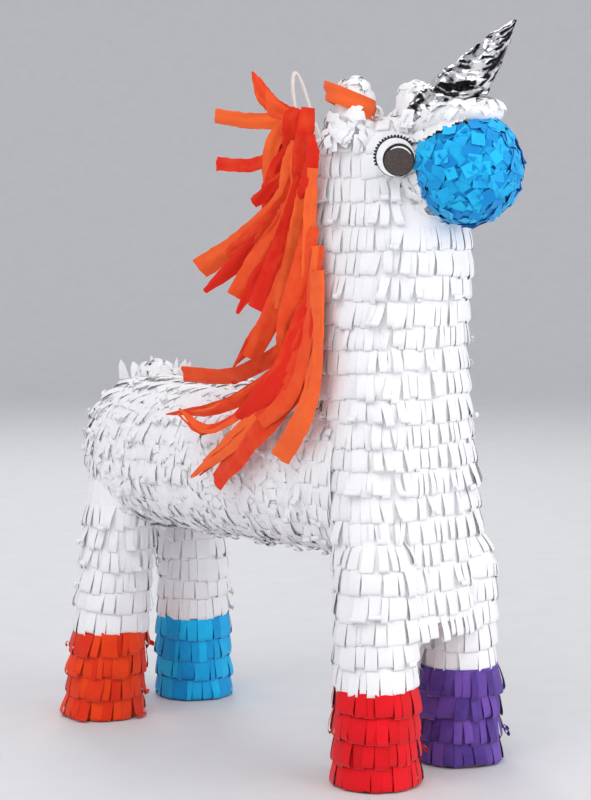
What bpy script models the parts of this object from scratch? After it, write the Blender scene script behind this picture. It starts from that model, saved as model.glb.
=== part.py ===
"""A standing unicorn pinata: hollow cardboard shells dressed in rows of cut tissue paper.

Metres, +Z up. The animal faces -Y and its left side is +X. Y is first measured from the middle
of the four feet, and the last lines move the origin under the middle of the whole length. Every
object in the collection "unicorn_pinata" is one physical piece.
"""

import math

import bmesh
import bpy
from mathutils import Matrix, Vector

# --- driving dimensions -----------------------------------------------------------------------
CARD = 0.0025  # wall of every cardboard shell
TISSUE = 0.0032  # how far a dressed surface stands out from the card
GAP = 0.0004  # clearance kept between neighbouring pieces

WHEELBASE = 0.304  # front foot to rear foot
FRONT_LEG_X = {"right": -0.0495, "left": 0.0440}
REAR_LEG_X = 0.0515
LEG_R = 0.0262  # outer radius of the rolled leg tubes
FRONT_LEG_TOP = 0.148
REAR_LEG_TOP = 0.198
REAR_LEAN = 0.07  # the rear feet stand this much further out and back for each unit of height
CUFF_HEIGHT = 0.073  # coloured tissue on each hoof
CUFF_R = 0.0325
HEM = 0.002  # lowest tissue above the ground
FOOT_DISC = 0.003

# The neck column: height, centre in Y, half width in X, half depth in Y.
NECK_STATIONS = (
    (0.152, -0.141, 0.0685, 0.0325),
    (0.200, -0.136, 0.0660, 0.0350),
    (0.260, -0.129, 0.0610, 0.0400),
    (0.320, -0.122, 0.0560, 0.0460),
    (0.380, -0.122, 0.0510, 0.0560),
    (0.415, -0.120, 0.0490, 0.0560),
    (0.450, -0.1145, 0.0470, 0.0540),
)
NECK_POWER = 2.25
CROWN_RISE = 0.032  # height of the domed crown over the neck tube

BARREL_Z = 0.221
BARREL_HALF_X = 0.0660
BARREL_HALF_Z = 0.0575
BARREL_POWER = 2.5
BARREL_FRONT = -0.118
BARREL_REAR = 0.122  # the rump dome starts here
RUMP_LENGTH = 0.057

SNOUT_Z = 0.4455
SNOUT_R = 0.0325
SNOUT_FRONT = -0.1755
MUZZLE_Y = -0.1925
MUZZLE_R = 0.0365
MUZZLE_REAR = -0.1760

HORN_BASE = Vector((0.0, -0.172, 0.4870))
HORN_TIP = Vector((0.0, -0.2285, 0.5405))
HORN_R = 0.0205

FLAP_Y = (0.035, 0.113)  # ends of the filling flap
FLAP_HALF_X = 0.034

EAR_X = 0.033
EAR_Y = -0.114
EAR_TOP = 0.511
EYE_R = 0.0145
EYE_Z = 0.4525
EYE_DIRECTION = math.radians(42)  # from straight ahead towards each side

EYE_X = 0.0485
EYE_Y = -0.1675
EAR_R = 0.0155
EAR_TOP_R = 0.0095
EAR_FOOT = 0.458
BROW_R = 0.0045
FORELOCK_Z = 0.484

CORD_R = 0.0015
CORD_X = 0.009  # the cord's two holes in the crown
CORD_Y = -0.0535  # where it leaves the tissue and the loop can turn
CORD_Z = 0.462
CORD_TAIL = 0.0140  # cord inside its hole, up to its knot
KNOT_R = 0.0032
LOOP_TOP = Vector((0, -0.0215, 0.5215))
LOOP_HALF_WIDTH = 0.0100

HINGE_STRIP = 0.005  # card left bare each side of the flap's fold

# Mane streamers: name, root height, middle control point, end, width, and which way the width
# lies at the root and at the end.
HANGING = ((1.0, 0.0, 0.0), (0.70, -0.70, 0.14))
LYING = ((0.0, 0.0, 1.0), (0.0, -1.0, 0.35))
MANE = (
    ("crest", 0.444, (-0.030, -0.030, 0.488), (-0.028, 0.004, 0.519), 0.010, HANGING),
    ("wisp", 0.436, (-0.026, 0.000, 0.466), (-0.026, 0.046, 0.490), 0.012, HANGING),
    ("lock", 0.424, (-0.020, -0.001, 0.450), (-0.028, 0.036, 0.452), 0.016, HANGING),
    ("upper", 0.412, (-0.024, 0.022, 0.420), (-0.030, 0.046, 0.366), 0.018, HANGING),
    ("outer", 0.398, (-0.024, 0.010, 0.400), (-0.034, 0.014, 0.342), 0.018, HANGING),
    ("inner", 0.384, (-0.024, -0.006, 0.384), (-0.036, -0.004, 0.345), 0.017, HANGING),
    ("middle", 0.366, (-0.024, -0.020, 0.362), (-0.036, -0.020, 0.331), 0.017, HANGING),
    ("back", 0.340, (-0.028, -0.034, 0.302), (-0.050, 0.040, 0.294), 0.017, HANGING),
    ("sweep", 0.328, (-0.098, -0.054, 0.322), (-0.079, 0.038, 0.207), 0.020, LYING),
    ("side", 0.303, (-0.100, -0.068, 0.290), (-0.0795, -0.042, 0.236), 0.017, LYING),
)
MANE_ROOT_X = -0.012

TAIL_Y = 0.136
TAIL_Z = 0.272
TAIL_TOP = 0.300

SIDES = {"right": -1, "left": 1}

COLOURS = {
    "cardboard": ((0.52, 0.38, 0.24), 0.9, 0.0),
    "paper_tape": ((0.72, 0.62, 0.45), 0.7, 0.0),
    "white_tissue": ((0.88, 0.88, 0.90), 0.85, 0.0),
    "orange_tissue": ((0.90, 0.13, 0.02), 0.8, 0.0),
    "hoof_orange_tissue": ((0.90, 0.10, 0.01), 0.8, 0.0),
    "blue_tissue": ((0.01, 0.34, 0.72), 0.8, 0.0),
    "red_tissue": ((0.78, 0.005, 0.01), 0.8, 0.0),
    "purple_tissue": ((0.12, 0.03, 0.35), 0.8, 0.0),
    "cotton_cord": ((0.85, 0.82, 0.80), 0.9, 0.0),
    "printed_card": ((0.05, 0.04, 0.04), 0.5, 0.0),
    "silver_foil": ((0.85, 0.85, 0.86), 0.18, 1.0),
}


# --- scene and materials ----------------------------------------------------------------------
def clear_scene():
    for obj in list(bpy.data.objects):
        bpy.data.objects.remove(obj, do_unlink=True)


def new_collection(name):
    collection = bpy.data.collections.new(name)
    bpy.context.scene.collection.children.link(collection)
    return collection


def material(name):
    found = bpy.data.materials.get(name)
    if found:
        return found
    colour, roughness, metallic = COLOURS[name]
    made = bpy.data.materials.new(name)
    made.use_nodes = True
    shader = made.node_tree.nodes["Principled BSDF"]
    shader.inputs["Base Color"].default_value = (*colour, 1.0)
    shader.inputs["Roughness"].default_value = roughness
    shader.inputs["Metallic"].default_value = metallic
    return made


clear_scene()
PARTS = new_collection("unicorn_pinata")
CUTTERS = new_collection("cutters")


def add_part(name, mesh, slot):
    """Links a mesh as one named piece with its material, shaded smooth but for sharp edges."""
    obj = bpy.data.objects.new(name, mesh)
    PARTS.objects.link(obj)
    mesh.materials.clear()
    mesh.materials.append(material(slot))
    mesh.shade_smooth()
    mesh.set_sharp_from_angle(angle=math.radians(35))
    return obj


def add_cutter(name, mesh):
    obj = bpy.data.objects.new(name, mesh)
    CUTTERS.objects.link(obj)
    obj.hide_render = True
    obj.display_type = "WIRE"
    return obj


def boolean(obj, cutter, operation="DIFFERENCE"):
    modifier = obj.modifiers.new(cutter.name, "BOOLEAN")
    modifier.operation = operation
    modifier.solver = "EXACT"
    modifier.object = cutter


def solidify(obj, thickness, outwards):
    """Gives an open surface its wall, on one side of it."""
    modifier = obj.modifiers.new("wall", "SOLIDIFY")
    modifier.thickness = thickness
    modifier.offset = 1.0 if outwards else -1.0
    modifier.use_even_offset = True


# --- meshes -----------------------------------------------------------------------------------
def mesh_from(bm, name):
    bmesh.ops.recalc_face_normals(bm, faces=bm.faces)
    mesh = bpy.data.meshes.new(name)
    bm.to_mesh(mesh)
    bm.free()
    return mesh


def superellipse(half_u, half_v, power, count=24):
    """Points round a superellipse in (u, v), starting at +u."""
    points = []
    for i in range(count):
        angle = 2 * math.pi * i / count
        c, s = math.cos(angle), math.sin(angle)
        u = half_u * math.copysign(abs(c) ** (2 / power), c)
        v = half_v * math.copysign(abs(s) ** (2 / power), s)
        points.append((u, v))
    return points


def loft(name, rings, capped=False, pole=None):
    """A surface through rings of equal count. capped closes both ends, pole ends it in a point."""
    bm = bmesh.new()
    loops = [[bm.verts.new(point) for point in ring] for ring in rings]
    for lower, upper in zip(loops, loops[1:]):
        for i in range(len(lower)):
            j = (i + 1) % len(lower)
            bm.faces.new((lower[i], lower[j], upper[j], upper[i]))
    if pole is not None:
        tip = bm.verts.new(pole)
        last = loops[-1]
        for i in range(len(last)):
            bm.faces.new((last[i], last[(i + 1) % len(last)], tip))
    if capped:
        bm.faces.new(loops[0])
        if pole is None:
            bm.faces.new(loops[-1])
    return mesh_from(bm, name)


def box_mesh(name, low, high):
    low, high = Vector(low), Vector(high)
    bm = bmesh.new()
    bmesh.ops.create_cube(bm, size=1.0)
    bmesh.ops.scale(bm, vec=high - low, verts=bm.verts)
    bmesh.ops.translate(bm, vec=(low + high) / 2, verts=bm.verts)
    return mesh_from(bm, name)


def cylinder_mesh(name, radius, low_z, high_z, top_radius=None, segments=20):
    bm = bmesh.new()
    bmesh.ops.create_cone(
        bm,
        cap_ends=True,
        segments=segments,
        radius1=radius,
        radius2=radius if top_radius is None else top_radius,
        depth=high_z - low_z,
    )
    bmesh.ops.translate(bm, vec=(0, 0, (low_z + high_z) / 2), verts=bm.verts)
    return mesh_from(bm, name)


# --- body surfaces ----------------------------------------------------------------------------
def neck_ring(z, offset, count=24):
    """The neck's outline at a height, grown by offset."""
    stations = NECK_STATIONS
    k = max(i for i in range(len(stations) - 1) if stations[i][0] <= max(z, stations[0][0]))
    low, high = stations[k], stations[k + 1]
    t = (z - low[0]) / (high[0] - low[0])
    centre, half_x, half_y = (a + (b - a) * t for a, b in zip(low[1:], high[1:]))
    outline = superellipse(half_x + offset, half_y + offset, NECK_POWER, count)
    return [(x, centre + y, z) for x, y in outline]


def neck_rings(offset, low=None, high=None):
    heights = [station[0] for station in NECK_STATIONS]
    low = heights[0] if low is None else low
    high = heights[-1] if high is None else high
    inner = [z for z in heights if low < z < high]
    return [neck_ring(z, offset) for z in [low, *inner, high]]


def crown_rings(offset, levels=6):
    """The domed crown over the neck tube, and its top point."""
    base, centre, half_x, half_y = NECK_STATIONS[-1]
    rings = []
    for i in range(levels):
        angle = math.pi / 2 * i / levels
        shrink = math.cos(angle) ** 0.8
        outline = superellipse(
            (half_x + offset) * shrink, (half_y + offset) * shrink, NECK_POWER
        )
        z = base + GAP + (CROWN_RISE + offset) * math.sin(angle)
        rings.append([(x, centre + y, z) for x, y in outline])
    return rings, (0, centre, base + GAP + CROWN_RISE + offset)


def barrel_ring(y, offset, shrink=1.0):
    outline = superellipse(
        (BARREL_HALF_X + offset) * shrink, (BARREL_HALF_Z + offset) * shrink, BARREL_POWER
    )
    return [(x, y, BARREL_Z + z) for x, z in outline]


def barrel_rings(offset, front=BARREL_FRONT, levels=6):
    """The barrel from its front edge round the rump, and its rearmost point."""
    rings = [barrel_ring(y, offset) for y in (front, 0.0)]
    for i in range(levels):
        angle = math.pi / 2 * i / levels
        y = BARREL_REAR + (RUMP_LENGTH + offset) * math.sin(angle)
        rings.append(barrel_ring(y, offset, math.cos(angle) ** 0.62))
    return rings, (0, BARREL_REAR + RUMP_LENGTH + offset, BARREL_Z)


def leg_mesh(name, place, radius, low, high, low_radius=None):
    """A leg's solid cylinder, leaning as the leg does, with level ends."""
    x, y, lean = LEGS[place]
    mesh = cylinder_mesh(name, low_radius or radius, low, high, top_radius=radius)
    mesh.transform(leg_shear(x, y, lean))
    return mesh


def leg_shear(x, y, lean):
    """Stands a shape over a foot and leans it in towards the body."""
    shear = Matrix.Identity(4)
    shear[0][2] = -math.copysign(lean, x)
    shear[1][2] = -lean
    return Matrix.Translation((x, y, 0)) @ shear


def cone_mesh(name, base, tip, radius, start, segments=20):
    """A cone standing on base with its point at tip, begun `start` behind the base."""
    axis = tip - base
    length = axis.length
    bm = bmesh.new()
    bmesh.ops.create_cone(
        bm, cap_ends=True, segments=segments, radius1=radius * (1 + start / length),
        radius2=0.0008, depth=length + start,
    )
    bmesh.ops.translate(bm, vec=(0, 0, (length - start) / 2), verts=bm.verts)
    mesh = mesh_from(bm, name)
    turn = Vector((0, 0, 1)).rotation_difference(axis).to_matrix().to_4x4()
    mesh.transform(Matrix.Translation(base) @ turn)
    return mesh


def ball_mesh(name, centre, radius, segments=24, rings=14):
    """A ball whose poles lie on the Y axis."""
    bm = bmesh.new()
    bmesh.ops.create_uvsphere(bm, u_segments=segments, v_segments=rings, radius=radius)
    mesh = mesh_from(bm, name)
    mesh.transform(Matrix.Translation(centre) @ Matrix.Rotation(math.pi / 2, 4, "X"))
    return mesh


def tube_along(name, points, radius, slot):
    """A round cord along points."""
    curve = bpy.data.curves.new(name, "CURVE")
    curve.dimensions = "3D"
    spline = curve.splines.new("POLY")
    spline.points.add(len(points) - 1)
    for point, place in zip(spline.points, points):
        point.co = (*place, 1.0)
    curve.bevel_depth = radius
    curve.bevel_resolution = 2
    curve.use_fill_caps = True
    obj = bpy.data.objects.new(name, curve)
    PARTS.objects.link(obj)
    curve.materials.append(material(slot))
    return obj


def bent_rod(name, points, radius, count=12):
    """A solid rod of round section lofted along points."""
    rings = []
    for i, point in enumerate(points):
        ahead = points[min(i + 1, len(points) - 1)] - points[max(i - 1, 0)]
        turn = Vector((0, 0, 1)).rotation_difference(ahead).to_matrix()
        ring = superellipse(radius, radius, 2, count)
        rings.append([point + turn @ Vector((u, v, 0)) for u, v in ring])
    return loft(name, rings, capped=True)


FLAT = ((1.0, 0.0, 0.0), (1.0, 0.0, 0.0))


def ribbon(name, path, width, slot, lies=FLAT, thickness=0.0009, taper=1.0):
    """A strip of tissue whose middle follows path; its width turns from one way to another."""
    bm = bmesh.new()
    rows = []
    last = len(path) - 1
    for i, point in enumerate(path):
        ahead = path[min(i + 1, last)] - path[max(i - 1, 0)]
        lie = Vector(lies[0]).lerp(Vector(lies[1]), min(1.0, 2.0 * i / last))
        side = lie - ahead.normalized() * ahead.normalized().dot(lie)
        half = side.normalized() * width / 2 * (1 + (taper - 1) * (i / last) ** 2)
        rows.append([bm.verts.new(point - half), bm.verts.new(point + half)])
    for a, b in zip(rows, rows[1:]):
        bm.faces.new((a[0], a[1], b[1], b[0]))
    obj = add_part(name, mesh_from(bm, name), slot)
    solidify(obj, thickness, outwards=True)
    obj.modifiers["wall"].offset = 0.0
    return obj


def arc_between(start, middle, end, count=8):
    """Points on the quadratic curve from start towards middle and on to end."""
    start, middle, end = Vector(start), Vector(middle), Vector(end)
    points = []
    for i in range(count + 1):
        t = i / count
        points.append(start * (1 - t) ** 2 + middle * 2 * t * (1 - t) + end * t**2)
    return points


# --- envelopes shared by several pieces --------------------------------------------------------
SKIN = GAP + TISSUE  # outer face of a dressed surface, measured from its card

LEGS = {
    "front_right": (FRONT_LEG_X["right"], -WHEELBASE / 2, 0.0),
    "front_left": (FRONT_LEG_X["left"], -WHEELBASE / 2, 0.0),
    "rear_right": (-REAR_LEG_X, WHEELBASE / 2, REAR_LEAN),
    "rear_left": (REAR_LEG_X, WHEELBASE / 2, REAR_LEAN),
}
HOOF_TISSUE = {
    "front_right": "red_tissue",
    "front_left": "purple_tissue",
    "rear_right": "hoof_orange_tissue",
    "rear_left": "blue_tissue",
}


def neck_envelope(name, offset):
    rings = neck_rings(offset, 0.10)
    crown, tip = crown_rings(offset)
    return add_cutter(name, loft(name, rings + crown[1:], capped=True, pole=tip))


def barrel_envelope(name, offset):
    rings, tip = barrel_rings(offset, BARREL_FRONT - offset)
    return add_cutter(name, loft(name, rings, capped=True, pole=tip))


NECK_CARD = neck_envelope("neck_card_envelope", GAP)
NECK_DRESSED = neck_envelope("neck_dressed_envelope", SKIN + GAP)
BARREL_CARD = barrel_envelope("barrel_card_envelope", GAP)
BARREL_DRESSED = barrel_envelope("barrel_dressed_envelope", SKIN + GAP)
MUZZLE_CENTRE = Vector((0, MUZZLE_Y, SNOUT_Z))
MUZZLE_DRESSED = add_cutter(
    "muzzle_dressed_envelope",
    ball_mesh("muzzle_dressed_envelope", MUZZLE_CENTRE, MUZZLE_R + SKIN + GAP),
)


def snout_cylinder(name, radius, front, rear):
    mesh = cylinder_mesh(name, radius, 0, rear - front, segments=24)
    mesh.transform(
        Matrix.Translation((0, rear, SNOUT_Z)) @ Matrix.Rotation(math.pi / 2, 4, "X")
    )
    return mesh


SNOUT_DRESSED = add_cutter(
    "snout_dressed_envelope",
    snout_cylinder("snout_dressed_envelope", SNOUT_R + SKIN + 2 * GAP, -0.1770, -0.12),
)
SNOUT_CUT = add_cutter(
    "behind_snout_front",
    box_mesh("behind_snout_front", (-0.1, MUZZLE_REAR, 0.36), (0.1, -0.05, 0.60)),
)


def leg_cutter(place, clearance, top):
    name = f"{place}_envelope_{round(clearance * 1e5)}"
    return add_cutter(name, leg_mesh(name, place, LEG_R + clearance, -0.01, top))


# --- pieces: neck, chest and crown --------------------------------------------------------------
def hole_cutter(name, radius, centre, length=0.06):
    """A round cutter lying along Y."""
    mesh = cylinder_mesh(name, radius, -length / 2, length / 2, segments=16)
    mesh.transform(Matrix.Translation(centre) @ Matrix.Rotation(math.pi / 2, 4, "X"))
    return add_cutter(name, mesh)


def make_neck():
    shell = add_part("neck_shell", loft("neck_shell", neck_rings(0)), "cardboard")
    solidify(shell, CARD, outwards=False)
    fringe = add_part("neck_fringe", loft("neck_fringe", neck_rings(1.5 * GAP)), "white_tissue")
    solidify(fringe, TISSUE, outwards=True)
    boolean(fringe, BARREL_DRESSED)
    boolean(fringe, SNOUT_DRESSED)
    outline = neck_ring(NECK_STATIONS[0][0], -CARD - 2 * GAP)
    low = NECK_STATIONS[0][0] + 0.001
    rings = [[(x, y, z) for x, y, _ in outline] for z in (low, low + 0.003)]
    add_part("chest_floor", loft("chest_floor", rings, capped=True), "cardboard")


def make_crown():
    holes = [
        hole_cutter(f"cord_hole_{side}", CORD_R + 0.0008, (sign * CORD_X, CORD_Y, CORD_Z))
        for side, sign in SIDES.items()
    ]
    top = NECK_STATIONS[-1][0] + 2 * GAP
    below = add_cutter("below_crown", box_mesh("below_crown", (-0.1, -0.3, 0.4), (0.1, 0, top)))
    rings, tip = crown_rings(0)
    crown = add_part("crown_cap", loft("crown_cap", rings, pole=tip), "cardboard")
    solidify(crown, CARD, outwards=False)
    rings, tip = crown_rings(GAP)
    cover = add_part("crown_fringe", loft("crown_fringe", rings, pole=tip), "white_tissue")
    solidify(cover, TISSUE, outwards=True)
    boolean(cover, SNOUT_DRESSED)
    for piece in (crown, cover):
        boolean(piece, below)
        for hole in holes:
            boolean(piece, hole)


def make_hanging_loop():
    """The cord comes out backwards and turns up into a loop. Its tails run in to knots."""
    rise = LOOP_TOP - Vector((0, CORD_Y, CORD_Z))
    points = []
    for i in range(33):
        t = 0.5 - 0.5 * math.cos(math.pi * i / 32)
        share = max(0.0, math.sin(math.pi * t))
        widen = math.sin(math.pi * min(1, 2.3 * min(t, 1 - t)) / 2)
        spread = CORD_X + (LOOP_HALF_WIDTH - CORD_X) * widen
        x = -math.cos(math.pi * t) * spread
        points.append(Vector((x, CORD_Y + rise.y * share**0.45, CORD_Z + rise.z * share**0.95)))
    tube_along("hanging_loop", points, CORD_R, "cotton_cord")
    for side, sign in SIDES.items():
        exit_point = Vector((sign * CORD_X, CORD_Y - CORD_R - 3 * GAP, CORD_Z))
        inner = exit_point - Vector((0, CORD_TAIL, 0))
        steps = [exit_point.lerp(inner, i / 3) for i in range(4)]
        tube_along(f"cord_tail_{side}", steps, CORD_R, "cotton_cord")
        centre = inner - Vector((0, KNOT_R + GAP, 0))
        mesh = ball_mesh(f"cord_knot_{side}", centre, KNOT_R, segments=14, rings=8)
        add_part(f"cord_knot_{side}", mesh, "cotton_cord")


# --- pieces: barrel, rump and filling flap --------------------------------------------------------
def flap_box(name, shrink, front=0.0, rear=0.0):
    low = (-FLAP_HALF_X + shrink, FLAP_Y[0] + shrink - front, BARREL_Z + 0.02)
    high = (FLAP_HALF_X - shrink, FLAP_Y[1] - shrink + rear, BARREL_Z + 0.08)
    return add_cutter(name, box_mesh(name, low, high))


def make_barrel():
    opening = flap_box("flap_opening", 0.0)
    bare_strip = flap_box("flap_opening_dressed", 0.0, rear=HINGE_STRIP)
    inside = flap_box("flap_outline", 0.0006)
    dressed = flap_box("flap_outline_dressed", 0.0006, rear=-HINGE_STRIP)

    rings, tip = barrel_rings(0)
    shell = add_part("barrel_shell", loft("barrel_shell", rings, pole=tip), "cardboard")
    solidify(shell, CARD, outwards=False)
    boolean(shell, NECK_CARD)
    boolean(shell, opening)
    rings, tip = barrel_rings(GAP)
    fringe = add_part("barrel_fringe", loft("barrel_fringe", rings, pole=tip), "white_tissue")
    solidify(fringe, TISSUE, outwards=True)
    boolean(fringe, NECK_CARD)
    boolean(fringe, bare_strip)
    for place in ("rear_right", "rear_left"):
        boolean(fringe, leg_cutter(place, SKIN + GAP, REAR_LEG_TOP + GAP))

    rings, tip = barrel_rings(0)
    flap = add_part("fill_flap", loft("fill_flap", rings, pole=tip), "cardboard")
    solidify(flap, CARD, outwards=False)
    boolean(flap, inside, "INTERSECT")
    rings, tip = barrel_rings(GAP)
    cover = add_part("flap_fringe", loft("flap_fringe", rings, pole=tip), "white_tissue")
    solidify(cover, TISSUE, outwards=True)
    boolean(cover, dressed, "INTERSECT")
    hinge = bpy.data.objects.new("flap_hinge_line", None)
    PARTS.objects.link(hinge)
    hinge.location = (0, FLAP_Y[1], BARREL_Z + BARREL_HALF_Z)
    for piece in (flap, cover):
        piece.data.transform(Matrix.Translation(-hinge.location))
        piece.parent = hinge


# --- pieces: legs ---------------------------------------------------------------------------------
def make_leg(place):
    front = place.startswith("front")
    top = FRONT_LEG_TOP if front else REAR_LEG_TOP
    tube_low = FOOT_DISC + GAP
    tube = leg_sleeve(f"leg_tube_{place}", place, LEG_R - CARD, LEG_R, tube_low, top)
    tube_slot(tube, "cardboard")
    disc = add_part(
        f"foot_disc_{place}", leg_mesh(f"foot_disc_{place}", place, LEG_R, 0, FOOT_DISC),
        "cardboard",
    )
    fringe = leg_sleeve(
        f"leg_fringe_{place}", place, LEG_R + GAP, LEG_R + SKIN, CUFF_HEIGHT - 0.006, top
    )
    tube_slot(fringe, "white_tissue")
    cuff = leg_sleeve(
        f"hoof_cuff_{place}", place, LEG_R + SKIN + GAP, CUFF_R, HEM, CUFF_HEIGHT,
    )
    tube_slot(cuff, HOOF_TISSUE[place])
    if not front:
        boolean(tube, BARREL_CARD)
        boolean(fringe, BARREL_CARD)
    return disc


def leg_sleeve(name, place, inner, outer, low, high):
    """A hollow sleeve on a leg: an outer solid with a bore through it, both leaning."""
    obj = add_part(name, leg_mesh(name, place, outer, low, high), "cardboard")
    bore = f"{name}_bore"
    boolean(obj, add_cutter(bore, leg_mesh(bore, place, inner, low - 0.01, high + 0.01)))
    return obj


def tube_slot(obj, slot):
    obj.data.materials.clear()
    obj.data.materials.append(material(slot))


# --- pieces: head ---------------------------------------------------------------------------------
def make_head():
    tube = add_part(
        "snout_tube", snout_cylinder("snout_tube", SNOUT_R, SNOUT_FRONT, -0.125), "cardboard"
    )
    bore = snout_cylinder("snout_bore", SNOUT_R - CARD, SNOUT_FRONT + CARD, -0.10)
    boolean(tube, add_cutter("snout_bore", bore))
    boolean(tube, NECK_CARD)
    name = "snout_fringe"
    fringe = add_part(
        name, snout_cylinder(name, SNOUT_R + SKIN, SNOUT_FRONT, -0.125), "white_tissue"
    )
    sleeve = snout_cylinder("snout_sleeve", SNOUT_R + GAP, SNOUT_FRONT - 0.01, -0.10)
    boolean(fringe, add_cutter("snout_sleeve", sleeve))
    boolean(fringe, NECK_CARD)

    ball = add_part(
        "muzzle_ball", ball_mesh("muzzle_ball", MUZZLE_CENTRE, MUZZLE_R), "cardboard"
    )
    hollow = ball_mesh("muzzle_hollow", MUZZLE_CENTRE, MUZZLE_R - CARD)
    boolean(ball, add_cutter("muzzle_hollow", hollow))
    cover = add_part(
        "muzzle_fringe",
        ball_mesh("muzzle_fringe", MUZZLE_CENTRE, MUZZLE_R + SKIN),
        "blue_tissue",
    )
    inner = ball_mesh("muzzle_inner", MUZZLE_CENTRE, MUZZLE_R + GAP)
    boolean(cover, add_cutter("muzzle_inner", inner))
    for piece in (ball, cover):
        boolean(piece, SNOUT_CUT)
        boolean(piece, NECK_DRESSED)


def make_horn():
    core = add_part(
        "horn_core", cone_mesh("horn_core", HORN_BASE, HORN_TIP, HORN_R, 0.012), "cardboard"
    )
    foil_axis = (HORN_TIP - HORN_BASE).normalized()
    foil_tip = HORN_TIP + foil_axis * 0.009
    foil = add_part(
        "horn_foil",
        cone_mesh("horn_foil", HORN_BASE, foil_tip, HORN_R + 0.0022, 0.012),
        "silver_foil",
    )
    inner_tip = HORN_TIP + foil_axis * 0.003
    inner = cone_mesh("horn_foil_inner", HORN_BASE, inner_tip, HORN_R + 2 * GAP, 0.020)
    boolean(foil, add_cutter("horn_foil_inner", inner))
    for piece in (core, foil):
        for cutter in (NECK_DRESSED, MUZZLE_DRESSED, SNOUT_DRESSED):
            boolean(piece, cutter)


def make_brow_roll():
    """A roll of tissue bent round the front of the horn's foot, lying on top of the muzzle."""
    axis = (HORN_TIP - HORN_BASE).normalized()
    side = Vector((1, 0, 0))
    forward = side.cross(axis)
    if forward.y > 0:
        forward = -forward
    reach = HORN_R + 0.0022 + BROW_R + 4 * GAP
    rest = MUZZLE_R + SKIN + BROW_R + GAP
    points = []
    for i in range(21):
        turn = math.radians(-70 + 140 * i / 20)
        out = side * math.sin(turn) + forward * math.cos(turn)
        start = HORN_BASE + out * reach - MUZZLE_CENTRE
        along = -start.dot(axis) + math.sqrt(
            max(0.0, start.dot(axis) ** 2 - start.length_squared + rest**2)
        )
        points.append(MUZZLE_CENTRE + start + axis * along)
    roll = add_part("brow_roll", bent_rod("brow_roll", points, BROW_R), "white_tissue")
    for cutter in (SNOUT_DRESSED, NECK_DRESSED):
        boolean(roll, cutter)


def make_ears():
    """Each ear is a blunt nub of rolled tissue standing on the crown."""
    for side, sign in SIDES.items():
        name = f"ear_{side}"
        mesh = cylinder_mesh(name, EAR_R, EAR_FOOT, EAR_TOP, top_radius=EAR_TOP_R)
        mesh.transform(Matrix.Translation((sign * EAR_X, EAR_Y, 0)))
        ear = add_part(name, mesh, "white_tissue")
        boolean(ear, NECK_DRESSED)


def make_eyes():
    """A printed disc stands on the dressed side of the head, facing out and forward."""
    for side, sign in SIDES.items():
        out = Vector((sign * math.sin(EYE_DIRECTION), -math.cos(EYE_DIRECTION), 0))
        centre = Vector((sign * EYE_X, EYE_Y, EYE_Z))
        mesh = cylinder_mesh(f"eye_{side}", EYE_R, 0, 0.0014, segments=32)
        turn = Vector((0, 0, 1)).rotation_difference(out).to_matrix().to_4x4()
        mesh.transform(Matrix.Translation(centre) @ turn)
        eye = add_part(f"eye_{side}", mesh, "printed_card")
        boolean(eye, NECK_DRESSED)
        boolean(eye, SNOUT_DRESSED)
        boolean(eye, MUZZLE_DRESSED)


# --- pieces: mane, forelock and tail ---------------------------------------------------------------
def nape_point(z, offset):
    """The point on the middle of the nape at a height, offset outwards."""
    stations = NECK_STATIONS
    k = max(i for i in range(len(stations) - 1) if stations[i][0] <= max(z, stations[0][0]))
    low, high = stations[k], stations[k + 1]
    t = (z - low[0]) / (high[0] - low[0])
    return Vector((0, low[1] + low[3] + (high[1] + high[3] - low[1] - low[3]) * t + offset, z))


def make_mane():
    """Streamers pasted in pairs to a strip down the nape, falling to the right."""
    backing = [nape_point(0.442 - 0.0165 * i, SKIN + GAP + 0.0008) for i in range(9)]
    ribbon("mane_backing", backing, 0.016, "orange_tissue", thickness=0.0012)
    for name, root, arch, end, width, lies in MANE:
        start = nape_point(root, SKIN + 0.0045)
        start.x = MANE_ROOT_X
        path = arc_between(start, Vector(arch), Vector(end))
        ribbon(f"mane_{name}", path, width, "orange_tissue", lies=lies, taper=0.7)


def make_forelock():
    """A band of tissue wrapped round the foot of the right ear, on the crown."""
    points = []
    for i in range(13):
        turn = math.radians(-100 + 200 * i / 12)
        out = Vector((-math.cos(turn), math.sin(turn), 0))
        points.append((out, i / 12))
    bm = bmesh.new()
    rows = []
    for out, t in points:
        foot = Vector((-EAR_X, EAR_Y, 0)) + Vector((out.x * 0.0170, out.y * 0.0170, 0))
        low = Vector((foot.x, foot.y, FORELOCK_Z))
        high = low + Vector((0, 0, 0.017))
        rows.append([bm.verts.new(low), bm.verts.new(high)])
    for a, b in zip(rows, rows[1:]):
        bm.faces.new((a[0], a[1], b[1], b[0]))
    band = add_part("forelock_band", mesh_from(bm, "forelock_band"), "orange_tissue")
    solidify(band, 0.001, outwards=True)
    boolean(band, NECK_DRESSED)


def make_tail():
    stub = cone_mesh(
        "tail_stub", Vector((0, TAIL_Y, TAIL_Z)), Vector((0, TAIL_Y + 0.004, TAIL_TOP)),
        0.013, 0.02, 20,
    )
    obj = add_part("tail_stub", stub, "white_tissue")
    boolean(obj, BARREL_DRESSED)
    rump_back = BARREL_REAR + RUMP_LENGTH + SKIN
    for i, x in enumerate((-0.012, 0.0, 0.012)):
        start = (x * 0.6, rump_back + 0.0010 + 0.0030 * i, BARREL_Z + 0.012)
        arch = (x, rump_back + 0.010 + 0.0030 * i, BARREL_Z - 0.01)
        end = (x * 1.1, rump_back + 0.002 + 0.0030 * i, BARREL_Z - 0.062 - 0.008 * (i % 2))
        path = arc_between(start, arch, end, 9)
        ribbon(f"tail_streamer_{i + 1}", path, 0.018, "orange_tissue", taper=0.75)


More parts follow.
